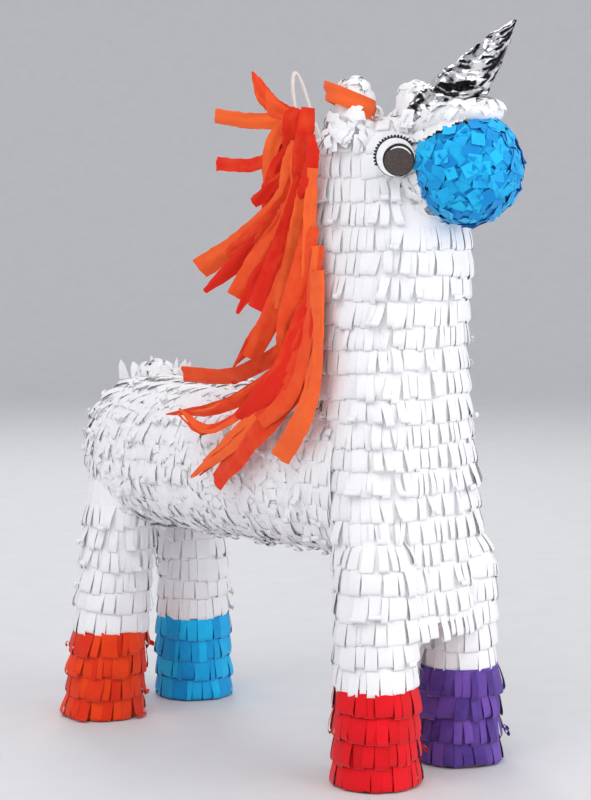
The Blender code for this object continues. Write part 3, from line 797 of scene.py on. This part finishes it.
def dress_brow():
    """A smooth roll of white tissue in front of the horn, and white over the top of the ball."""
    brow = Sheets()
    axis = (HORN_TIP - HORN_BASE).normalized()
    side = Vector((1, 0, 0))
    forward = side.cross(axis)
    if forward.y > 0:
        forward = -forward

    def roll(turn):
        out = side * math.sin(turn) + forward * math.cos(turn)
        start = HORN_BASE + out * 0.0285 - MUZZLE
        inside = start.dot(axis) ** 2 - start.length_squared + 0.0440**2
        return MUZZLE + start + axis * (-start.dot(axis) + math.sqrt(max(0.0, inside)))

    rows = []
    for i in range(41):
        turn = math.radians(-104 + 208 * i / 40)
        middle = roll(turn)
        along = (roll(turn + 0.03) - roll(turn - 0.03)).normalized()
        up = (middle - MUZZLE).normalized()
        across = along.cross(up).normalized()
        ends = max(0.05, math.sin(math.pi * i / 40)) ** 0.35
        row = []
        for j in range(21):
            a = 2 * math.pi * (j % 20) / 20
            n = up * math.cos(a) + across * math.sin(a)
            crush = noise.noise((middle + n * 0.012) * 120)
            row.append(middle + n * (0.0072 * ends * (1 + 0.16 * crush)))
        rows.append(row)
    brow.grid(rows, 0.6)

    def on_ball(i, j):
        a, b = math.pi / 2 * i / 34, 2 * math.pi * j / 96
        n = Vector((math.sin(a) * math.cos(b), math.sin(a) * math.sin(b), math.cos(a)))
        return n, MUZZLE + n * (0.0413 + 0.0016 * noise.noise(n * 7))

    for i in range(34):
        for j in range(96):
            corners = [on_ball(i + di, j + dj) for di, dj in CORNERS]
            if all(under_brow(n) and p.y < -0.165 + SHIFT for n, p in corners):
                brow.cell([p for _, p in corners], 0.6)

    def on_roll():
        middle = roll(math.radians(RNG.uniform(-95, 95)))
        n = stirred((middle - MUZZLE).normalized(), 0.5)
        return middle + n * 0.0066, n

    scatter_tabs(brow, on_roll, 70, 0.0080, (0.1, 0.5))
    dress("brow_tissue", brow, WHITE, ["brow_roll"])


def dress_ears():
    """Each ear is a blunt nub of rolled white tissue, crumpled at its foot and its top."""
    for side, sign in (("right", -1), ("left", 1)):
        ear = Sheets()
        foot = Vector((sign * 0.033, -0.114 + SHIFT, 0.0))
        rows = []
        for i in range(12):
            u = i / 11
            z = 0.464 + 0.044 * u
            radius = 0.0165 - 0.0040 * u
            if u > 0.75:
                radius = 0.0135 * math.sqrt(max(0.0, 1 - ((u - 0.75) / 0.26) ** 2))
            row = []
            for j in range(33):
                a = 2 * math.pi * (j % 32) / 32
                n = Vector((math.cos(a), math.sin(a), 0))
                spot = Vector((n.x * 2.0, n.y * 2.0, z * 90)) + Vector((sign * 7, 0, 0))
                crush = noise.noise(spot) + 0.5 * noise.noise(spot * 2.7)
                reach = radius * (1 + 0.16 * crush)
                row.append(foot + n * reach + Vector((0, 0, z + 0.0015 * crush)))
            rows.append(row)
        ear.grid(rows, 0.6)

        def on_ear():
            a = RNG.uniform(0, 2 * math.pi)
            n = Vector((math.cos(a), math.sin(a), 0))
            h = RNG.choice((RNG.uniform(0.462, 0.486), RNG.uniform(0.498, 0.506)))
            if h > 0.49:
                n = (n * RNG.uniform(0.1, 1.0) + Vector((0, 0, 0.8))).normalized()
                return foot + Vector((0, 0, 0.4965)) + n * 0.0115, n
            reach = 0.0170 + 0.0060 * (0.486 - h) / 0.024
            return foot + n * reach + Vector((0, 0, h)), (n + Vector((0, 0, 0.3))).normalized()

        scatter_tabs(ear, on_ear, 150, 0.0072, (0.2, 0.9))
        dress(f"ear_tissue_{side}", ear, WHITE, [f"ear_{side}"])


# --- horn ---
def make_horn():
    """Foil crushed round the cone: flat facets, and dark and bright streaks of painted reflection
    along it.
    """
    axis = (HORN_TIP - HORN_BASE).normalized()
    u = Vector((1, 0, 0))
    v = axis.cross(u)
    rings, count = 26, 26
    full = (HORN_TIP - HORN_BASE).length + 0.009
    rows, tones_and_painted_reflections = [], []
    for i in range(rings + 1):
        h = -0.014 + (full + 0.014) * i / rings
        f = min(1.0, max(0.0, h / full))
        radius = 0.0218 * (1 - f) ** 0.82 + 0.0012
        row = []
        for j in range(count + 1):
            a = 2 * math.pi * (j % count) / count + 2.2 * f + 0.12 * (i % 2)
            n = u * math.cos(a) + v * math.sin(a)
            spot = Vector((2.2 * math.cos(a), 2.2 * math.sin(a), h * 70))
            crush = noise.noise(spot) * 0.9 + noise.noise(spot * 2.9) * 0.7
            reach = radius * (1 + 0.10 * crush) + 0.0005 * crush
            row.append(HORN_BASE + axis * (h + 0.0012 * crush) + n * reach)
            # Painted reflection: dark and bright streaks written into the tone, in place of the
            # room mirrored in the foil.
            painted_reflection_spot = Vector((2.6 * math.cos(a - 1.5 * f), 2.6 * math.sin(a - 1.5 * f), h * 48))
            tones_and_painted_reflections.append(0.5 + 0.9 * noise.noise(painted_reflection_spot * 1.3) + 0.6 * noise.noise(painted_reflection_spot * 3.1))
        rows.append(row)
    sheets = Sheets()
    sheets.grid(rows, 0.5)
    sheets.tones_and_painted_reflections = tones_and_painted_reflections
    mesh = sheets.mesh("horn_wrap")
    mesh.shade_flat()
    obj = link("horn_wrap", mesh, FOIL, "body", "silver_foil")
    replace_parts(obj, "horn_foil")


# --- eyes ---
def eye_frame(sign):
    """The eye's middle and its directions: towards the muzzle, up, and out of the head."""
    spin = math.radians(42)
    out = Vector((sign * math.sin(spin), -math.cos(spin), 0.05)).normalized()
    across = Vector((0, 0, 1)).cross(out).normalized() * -sign
    up = out.cross(across)
    up = up if up.z > 0 else -up
    return Vector((sign * 0.0485, -0.1675 + SHIFT, 0.4525)) + out * 0.0016, across, up, out


def make_eye(side, sign):
    """A printed eye: scalloped lashes, a dark pupil low to the front, and a lit crescent."""
    centre, across, up, out = eye_frame(sign)

    def spot(x, y, lift=0.0):
        return centre + across * (x * 0.001) + up * (y * 0.001) + out * (lift * 0.001)

    def printed(name, sheets, material):
        name = f"{name}_{side}"
        return link(name, sheets.mesh(name), material, "body", "printed_card")

    def disc(name, cx, cy, radius, lift, material):
        sheets = Sheets()
        turns = [2 * math.pi * i / 48 for i in range(49)]
        rings = []
        for k in range(5):
            f = 1 - k / 4
            r, crown = radius * f, lift + 0.25 * (1 - f * f)
            rings.append([spot(cx + r * math.cos(a), cy + r * math.sin(a), crown) for a in turns])
        sheets.grid(rings, 0.5)
        return printed(name, sheets, material)

    def arc(name, cx, cy, radius, thick, start, end, lift, material):
        sheets = Sheets()
        inner, outer = [], []
        for i in range(33):
            a = math.radians(start + (end - start) * i / 32)
            half = thick / 2 * math.sin(math.pi * (0.04 + 0.92 * i / 32)) ** 0.6
            for row, r in ((inner, radius - half), (outer, radius + half)):
                row.append(spot(cx + r * math.cos(a), cy + r * math.sin(a), lift))
        sheets.grid([inner, outer], 0.5)
        printed(name, sheets, material)

    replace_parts(disc("eye_card", 0, 0, 14.2, 0.0, INK_BLACK), f"eye_{side}")
    disc("eye_white", 0.1, -0.1, 13.7, 0.30, INK_WHITE)
    disc("eye_rim", 2.2, -2.0, 11.4, 0.60, INK_BLACK)
    disc("eye_pupil", 2.1, -2.7, 10.2, 0.90, INK_BROWN)
    arc("eye_lid", 2.2, -2.0, 10.6, 2.0, 22, 138, 1.30, INK_BLACK)
    arc("eye_glint", 2.2, -2.6, 9.6, 1.2, 28, 128, 1.50, INK_WHITE)
    lashes = Sheets()
    for k in range(19):
        a = math.radians(38 + 9.0 * k)
        rows = []
        for reach, half in ((13.6, 1.15), (14.9, 0.95), (15.9, 0.45)):
            x, y = reach * math.cos(a), reach * math.sin(a)
            rows.append([
                spot(x - half * math.sin(a), y + half * math.cos(a), 0.5),
                spot(x + half * math.sin(a), y - half * math.cos(a), 0.5),
            ])
        lashes.grid(rows, 0.5)
    printed("eye_lashes", lashes, INK_BLACK)


# --- mane ---
def smooth_path(points, steps):
    """A smooth line through points."""
    points = [Vector(p) for p in points]
    full = [points[0] * 2 - points[1], *points, points[-1] * 2 - points[-2]]
    line = []
    for a, b, c, d in zip(full, full[1:], full[2:], full[3:]):
        for i in range(steps):
            t = i / steps
            line.append(
                0.5 * ((2 * b) + (c - a) * t + (2 * a - 5 * b + 4 * c - d) * t * t
                       + (3 * b - a - 3 * c + d) * t**3)
            )
    line.append(points[-1])
    return line


def streamer(sheets, points, width, face, tip, root=0.8, steps=8):
    """A strip of tissue along points, its face turned towards face. Returns its flat area."""
    line = smooth_path(points, steps)
    last = len(line) - 1
    face = Vector(face).normalized()
    phase, phase2 = RNG.uniform(0, 6), RNG.uniform(0, 6)
    rows, area = [], 0.0
    columns = 7
    for i, point in enumerate(line):
        v = i / last
        ahead = (line[min(i + 1, last)] - line[max(i - 1, 0)]).normalized()
        side = ahead.cross(face)
        side = side.normalized() if side.length > 0.05 else Vector((1, 0, 0))
        out = side.cross(ahead).normalized()
        if out.dot(face) < 0:
            out = -out
        half = width / 2 * (root + (1 - root) * min(1, v * 4))
        if v > 0.7:
            half *= 1 + (tip - 1) * ((v - 0.7) / 0.3) ** 1.3
        half = max(half, 0.0006)
        roll = 0.35 * math.sin(3.1 * v + phase)
        row = []
        for c in range(columns):
            x = 2 * c / (columns - 1) - 1
            bow = 0.18 * half * (1 - x * x)
            pleat = 0.00055 * math.sin(5.0 * x + 6 * v + phase2) * min(1, half / 0.005)
            edge = RNG.gauss(0, 0.00025)
            across = side * math.cos(roll) + out * math.sin(roll)
            spot = point * 75 + Vector((phase, 4 * x * half * 75, phase2))
            crush = 0.0017 * noise.noise(spot) * min(1, half / 0.004)
            row.append(point + across * (x * half + edge) + out * (bow + pleat + crush))
        rows.append(row)
        if i:
            area += (point - line[i - 1]).length * 2 * half
    sheets.grid(rows, RNG.uniform(0.0, 0.85))
    return area


def torn(points, share):
    """A neighbour of a strip: a little to one side of it, and shorter."""
    slip = Vector((RNG.uniform(-0.004, 0.004), RNG.uniform(-0.004, 0.004), 0.0))
    line = [Vector(p) + slip * (i > 0) for i, p in enumerate(points)]
    line[-1] = line[-2].lerp(line[-1], share)
    return [tuple(p - Vector((0, 0, 0.0022))) for p in line]


def bundle(name, node, strips):
    """Several streamers pasted together at one root."""
    sheets = Sheets()
    area, longest = 0.0, 0.0
    for points, width, face, options in strips:
        line = [at(*p) for p in points]
        area += streamer(sheets, line, width, face, **options)
        longest = max(longest, path_length(line))
        for share in (RNG.uniform(0.3, 0.9), RNG.uniform(0.0, 0.6)):
            line = [at(*p) for p in torn(points, share)]
            area += streamer(sheets, line, width * RNG.uniform(0.35, 0.6), face, tip=0.1)
    obj = dress(name, sheets, ORANGE, [node], slot="orange_tissue")


def strip(width, tip, *points, face=NEAR, root=0.8):
    """One streamer of a bundle, in millimetres: its width and its points, given as at() takes them.

    tip and root are its ends' widths, as shares of its own.
    """
    points = [tuple(0.001 * v for v in p) for p in points]
    return points, 0.001 * width, face, {"tip": tip, "root": root}


def make_mane():
    bundle("mane_crest_tissue", "mane_crest", [
        strip(13, 0.1, (23, 484, 70), (8, 488, 64), (-6, 499, 58), (-17, 520, 50)),
        strip(12, 0.12, (23, 478, 72), (12, 484, 68), (0, 492, 64), (-6, 506, 60)),
        strip(15, 0.08, (19, 489, 84), (14, 482, 86), (13, 468, 86), (12, 446, 82)),
        strip(13, 0.3, (25, 490, 106), (23, 472, 106), (19, 455, 104), (16, 432, 98)),
    ])
    bundle("mane_wisp_tissue", "mane_wisp", [
        strip(11.5, 1, (21, 484, 70), (8, 483, 66), (-18, 483, 58), (-45, 487, 48), root=0.6),
        strip(12, 0.9, (23, 474, 78), (10, 470, 74), (0, 462, 70), (-5, 442, 66)),
        strip(12, 0.9, (16, 484, 78), (4, 474, 74), (-3, 460, 72), (-4, 434, 70)),
    ])
    bundle("mane_lock_tissue", "mane_lock", [
        strip(10.5, 1, (19, 462, 78), (6, 460, 72), (-16, 450, 62), (-44, 451, 50), root=0.6),
        strip(11, 1, (12, 462, 84), (2, 448, 80), (-3, 432, 78), (-5, 414, 76)),
        strip(10, 0.8, (18, 452, 90), (10, 440, 86), (-4, 430, 80), (-16, 421, 74)),
        strip(10, 0.25, (26, 470, 112), (28, 450, 114), (23, 432, 112), (15, 420, 104)),
        strip(14, 0.9, (17, 466, 92), (12, 448, 92), (10, 430, 90), (8, 412, 88)),
    ])
    bundle("mane_upper_tissue", "mane_upper", [
        strip(16, 1.1, (17, 444, 92), (2, 418, 82), (-28, 391, 68), (-57, 372, 54)),
        strip(14, 0.3, (19, 438, 94), (4, 410, 86), (-24, 380, 74), (-53, 355, 62)),
        strip(13, 0.4, (19, 448, 96), (10, 424, 92), (-12, 400, 82), (-36, 384, 70)),
    ])
    bundle("mane_outer_tissue", "mane_outer", [
        strip(14, 0.9, (19, 440, 98), (8, 410, 92), (-12, 382, 84), (-30, 352, 74)),
        strip(13, 0.15, (21, 426, 100), (10, 400, 94), (-10, 370, 86), (-28, 339, 78)),
    ])
    bundle("mane_inner_tissue", "mane_inner", [
        strip(15, 0.9, (21, 440, 104), (12, 408, 100), (0, 376, 94), (-14, 343, 88)),
        strip(14, 0.7, (23, 432, 108), (18, 404, 104), (12, 374, 100), (2, 343, 96)),
        strip(10, 0.15, (28, 446, 116), (26, 412, 114), (25, 378, 112), (21, 346, 110)),
    ])
    bundle("mane_middle_tissue", "mane_middle", [
        strip(17, 0.8, (25, 400, 104), (12, 372, 100), (0, 342, 94), (-18, 306, 86)),
        strip(12, 0.08, (23, 380, 102), (10, 354, 94), (-12, 324, 86), (-31, 299, 78)),
        strip(16, 0.7, (27, 404, 114), (21, 376, 112), (12, 344, 110), (6, 314, 108)),
        strip(10, 0.3, (31, 390, 118), (31, 356, 120), (30, 326, 124), (29, 300, 128)),
    ])
    bundle("mane_back_tissue", "mane_back", [
        strip(13, 1, (25, 340, 100), (8, 314, 88), (-30, 292, 60), (-71, 290, 26)),
        strip(11, 0.1, (25, 334, 104), (6, 300, 100), (-38, 270, 78), (-84, 260, 40)),
    ])
    bundle("mane_sweep_tissue", "mane_sweep", [
        strip(
            21, 0.75, (29, 350, 116), (23, 318, 120), (12, 286, 120), (-14, 252, 106),
            (-44, 212, 78), face=(-1.0, -0.15, 0.25),
        ),
        strip(
            15, 0.1, (27, 346, 110), (14, 312, 112), (-4, 276, 110), (-34, 242, 90),
            (-64, 214, 62), face=(-1.0, -0.15, 0.3),
        ),
        strip(
            11, 0.1, (25, 338, 106), (8, 302, 104), (-20, 270, 96), (-50, 252, 74),
            (-73, 266, 56), face=(-0.9, -0.15, 0.5),
        ),
        strip(16, 0.3, (27, 356, 114), (18, 328, 116), (6, 300, 114), (-14, 276, 106)),
        strip(18, 0.6, (26, 344, 116), (14, 312, 118), (-6, 282, 112), (-26, 262, 98)),
    ])
    bundle("mane_side_tissue", "mane_side", [
        strip(
            16, 0.95, (31, 372, 122), (31, 330, 128), (28, 290, 136), (19, 262, 134),
            (4, 235, 120), face=(-1.0, -0.3, 0.15),
        ),
        strip(
            16, 0.6, (31, 390, 116), (27, 350, 118), (21, 312, 124), (10, 280, 122),
            (-10, 260, 112), face=(-1.0, -0.3, 0.2),
        ),
    ])

    backing = Sheets()
    line = []
    for i in range(12):
        z = 0.446 - 0.0125 * i
        k = max(j for j in range(5) if NECK_STATIONS[j][0] <= z)
        low, high = NECK_STATIONS[k], NECK_STATIONS[k + 1]
        u = (z - low[0]) / (high[0] - low[0])
        back = low[1] + low[3] + (high[1] + high[3] - low[1] - low[3]) * u
        line.append(Vector((0, back + 0.0052 + SHIFT, z)))
    streamer(backing, line, 0.018, (0, 1, 0), tip=1.0, root=1.0, steps=2)
    obj = dress("mane_backing_tissue", backing, ORANGE, ["mane_backing"], slot="orange_tissue")


def make_forelock():
    """An orange ribbon wrapped slantwise round the right ear."""
    band = Sheets()
    rows, line = [], []
    for i in range(29):
        turn = 2 * math.pi * i / 28
        out = (RIGHT * math.cos(turn) + NEAR * math.sin(turn)).normalized()
        reach = 0.0185 + 0.0012 * math.sin(3 * turn)
        middle = Vector((-0.033, -0.114 + SHIFT, 0.4925)) - RIGHT * 0.0035 + out * reach
        middle.z += -0.0080 * math.cos(turn) + 0.0020
        line.append(middle)
        row = []
        for c in range(7):
            x = 2 * c / 6 - 1
            flare = 0.0010 * x + 0.0008 * math.sin(5 * x + 2 * turn)
            flare += 0.0012 * noise.noise(middle * 90)
            row.append(middle + Vector((0, 0, 0.0072 * x)) + out * flare)
        rows.append(row)
    band.grid(rows, 1.1)
    length = path_length(line)
    obj = dress("forelock_tissue", band, ORANGE, ["forelock_band"], slot="orange_tissue")


def make_tail():
    stub = Sheets()
    base = Vector((0, 0.142 + SHIFT, 0.277))

    def on_tuft():
        n = Vector((RNG.gauss(0, 0.6), RNG.gauss(0, 0.6), 0.7)).normalized()
        return base + Vector((n.x * 0.014, n.y * 0.016, n.z * 0.011 - 0.002)), n

    scatter_tabs(stub, on_tuft, 90, 0.0080)
    for _ in range(26):
        lean = Vector((RNG.gauss(0, 0.45), RNG.gauss(0.05, 0.45), 1)).normalized()
        length = RNG.uniform(0.010, 0.019) * (1.25 - 0.45 * (lean.x**2 + lean.y**2) / 0.4)
        spot = base + Vector((RNG.gauss(0, 0.009), RNG.gauss(0, 0.011), 0.001))
        across = any_way(lean)
        rows = []
        for k in range(4):
            v = k / 3
            half = 0.0046 * (1 - v) ** 0.4 + 0.0004
            middle = spot + lean * length * v
            rows.append([middle - across * half, middle + across * half])
        stub.grid(rows, RNG.uniform(0.1, 0.75))
    dress("tail_tuft", stub, WHITE, ["tail_stub"])
    back = 0.122 + 0.057 + 0.0036 + SHIFT
    for i, x in enumerate((-0.012, 0.0, 0.012)):
        sheets = Sheets()
        lift = 0.0030 * i
        line = [
            Vector((x * 0.6, back + 0.003 + lift, 0.238)),
            Vector((x * 0.9, back + 0.008 + lift, 0.222)),
            Vector((x, back + 0.008 + lift, 0.196)),
            Vector((x * 1.1, back + 0.004 + lift, 0.166 - 0.006 * (i % 2))),
        ]
        streamer(sheets, line, 0.018, (0, 1, 0), tip=0.7)
        length = path_length(line)
        name = f"tail_streamer_{i + 1}"
        obj = dress(f"{name}_tissue", sheets, ORANGE, [name], slot="orange_tissue")


def paint_card_nodes():
    for name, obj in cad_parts.items():
        obj = obj if hasattr(obj, "data") else bpy.data.objects[name]
        material = CORD if name.startswith("cord_knot") else CARD
        for i in range(len(obj.material_slots)):
            obj.material_slots[i].material = material


# --- stage ---
def make_stage():
    """A pale floor that curves up into a wall all round, so that no horizon shows."""
    flat, sweep, high = 3.2, 2.2, 5.0
    profile = [(0.0, 0.0), (flat * 0.5, 0.0), (flat, 0.0)]
    for i in range(1, 13):
        a = math.pi / 2 * i / 12
        profile.append((flat + sweep * math.sin(a), sweep * (1 - math.cos(a))))
    profile.append((flat + sweep, high))
    verts, faces, count = [], [], 96
    for radius, z in profile:
        for j in range(count):
            a = 2 * math.pi * j / count
            verts.append((radius * math.cos(a), radius * math.sin(a), z))
    for i in range(len(profile) - 1):
        for j in range(count):
            k = (j + 1) % count
            faces.append((i * count + j, i * count + k, (i + 1) * count + k, (i + 1) * count + j))
    mesh = bpy.data.meshes.new("floor")
    mesh.from_pydata(verts, [], faces)
    mesh.shade_smooth()
    floor = bpy.data.objects.new("floor", mesh)
    bpy.context.scene.collection.objects.link(floor)
    low, high = srgb(222, 222, 224), srgb(225, 225, 227)
    mesh.materials.append(grained("pale_floor", low, high, 0.9, Scale=30.0, Detail=2.0))

    world = bpy.data.worlds.new("studio")
    bpy.context.scene.world = world
    world.use_nodes = True
    sky = world.node_tree.nodes["Background"]
    sky.inputs["Color"].default_value = (0.86, 0.87, 0.90, 1)
    sky.inputs["Strength"].default_value = 0.77

    def lamp(name, place, target, size, power):
        data = bpy.data.lights.new(name, "AREA")
        data.size = size
        data.energy = power
        obj = bpy.data.objects.new(name, data)
        bpy.context.scene.collection.objects.link(obj)
        obj.location = place
        direction = Vector(target) - Vector(place)
        obj.rotation_euler = direction.to_track_quat("-Z", "Y").to_euler()

    lamp("key", (-2.0, -0.6, 2.0), (0, 0, 0.28), 2.6, 31)
    lamp("fill", (0.6, -2.4, 0.9), (0, 0, 0.25), 2.4, 34)
    lamp("rim", (1.2, 1.6, 1.8), (0, 0, 0.35), 1.0, 14)


dress_barrel()
dress_neck()
dress_legs()
dress_muzzle()
dress_snout()
dress_brow()
dress_ears()
make_horn()
make_eye("right", -1)
make_eye("left", 1)
make_mane()
make_forelock()
make_tail()
paint_card_nodes()
make_stage()
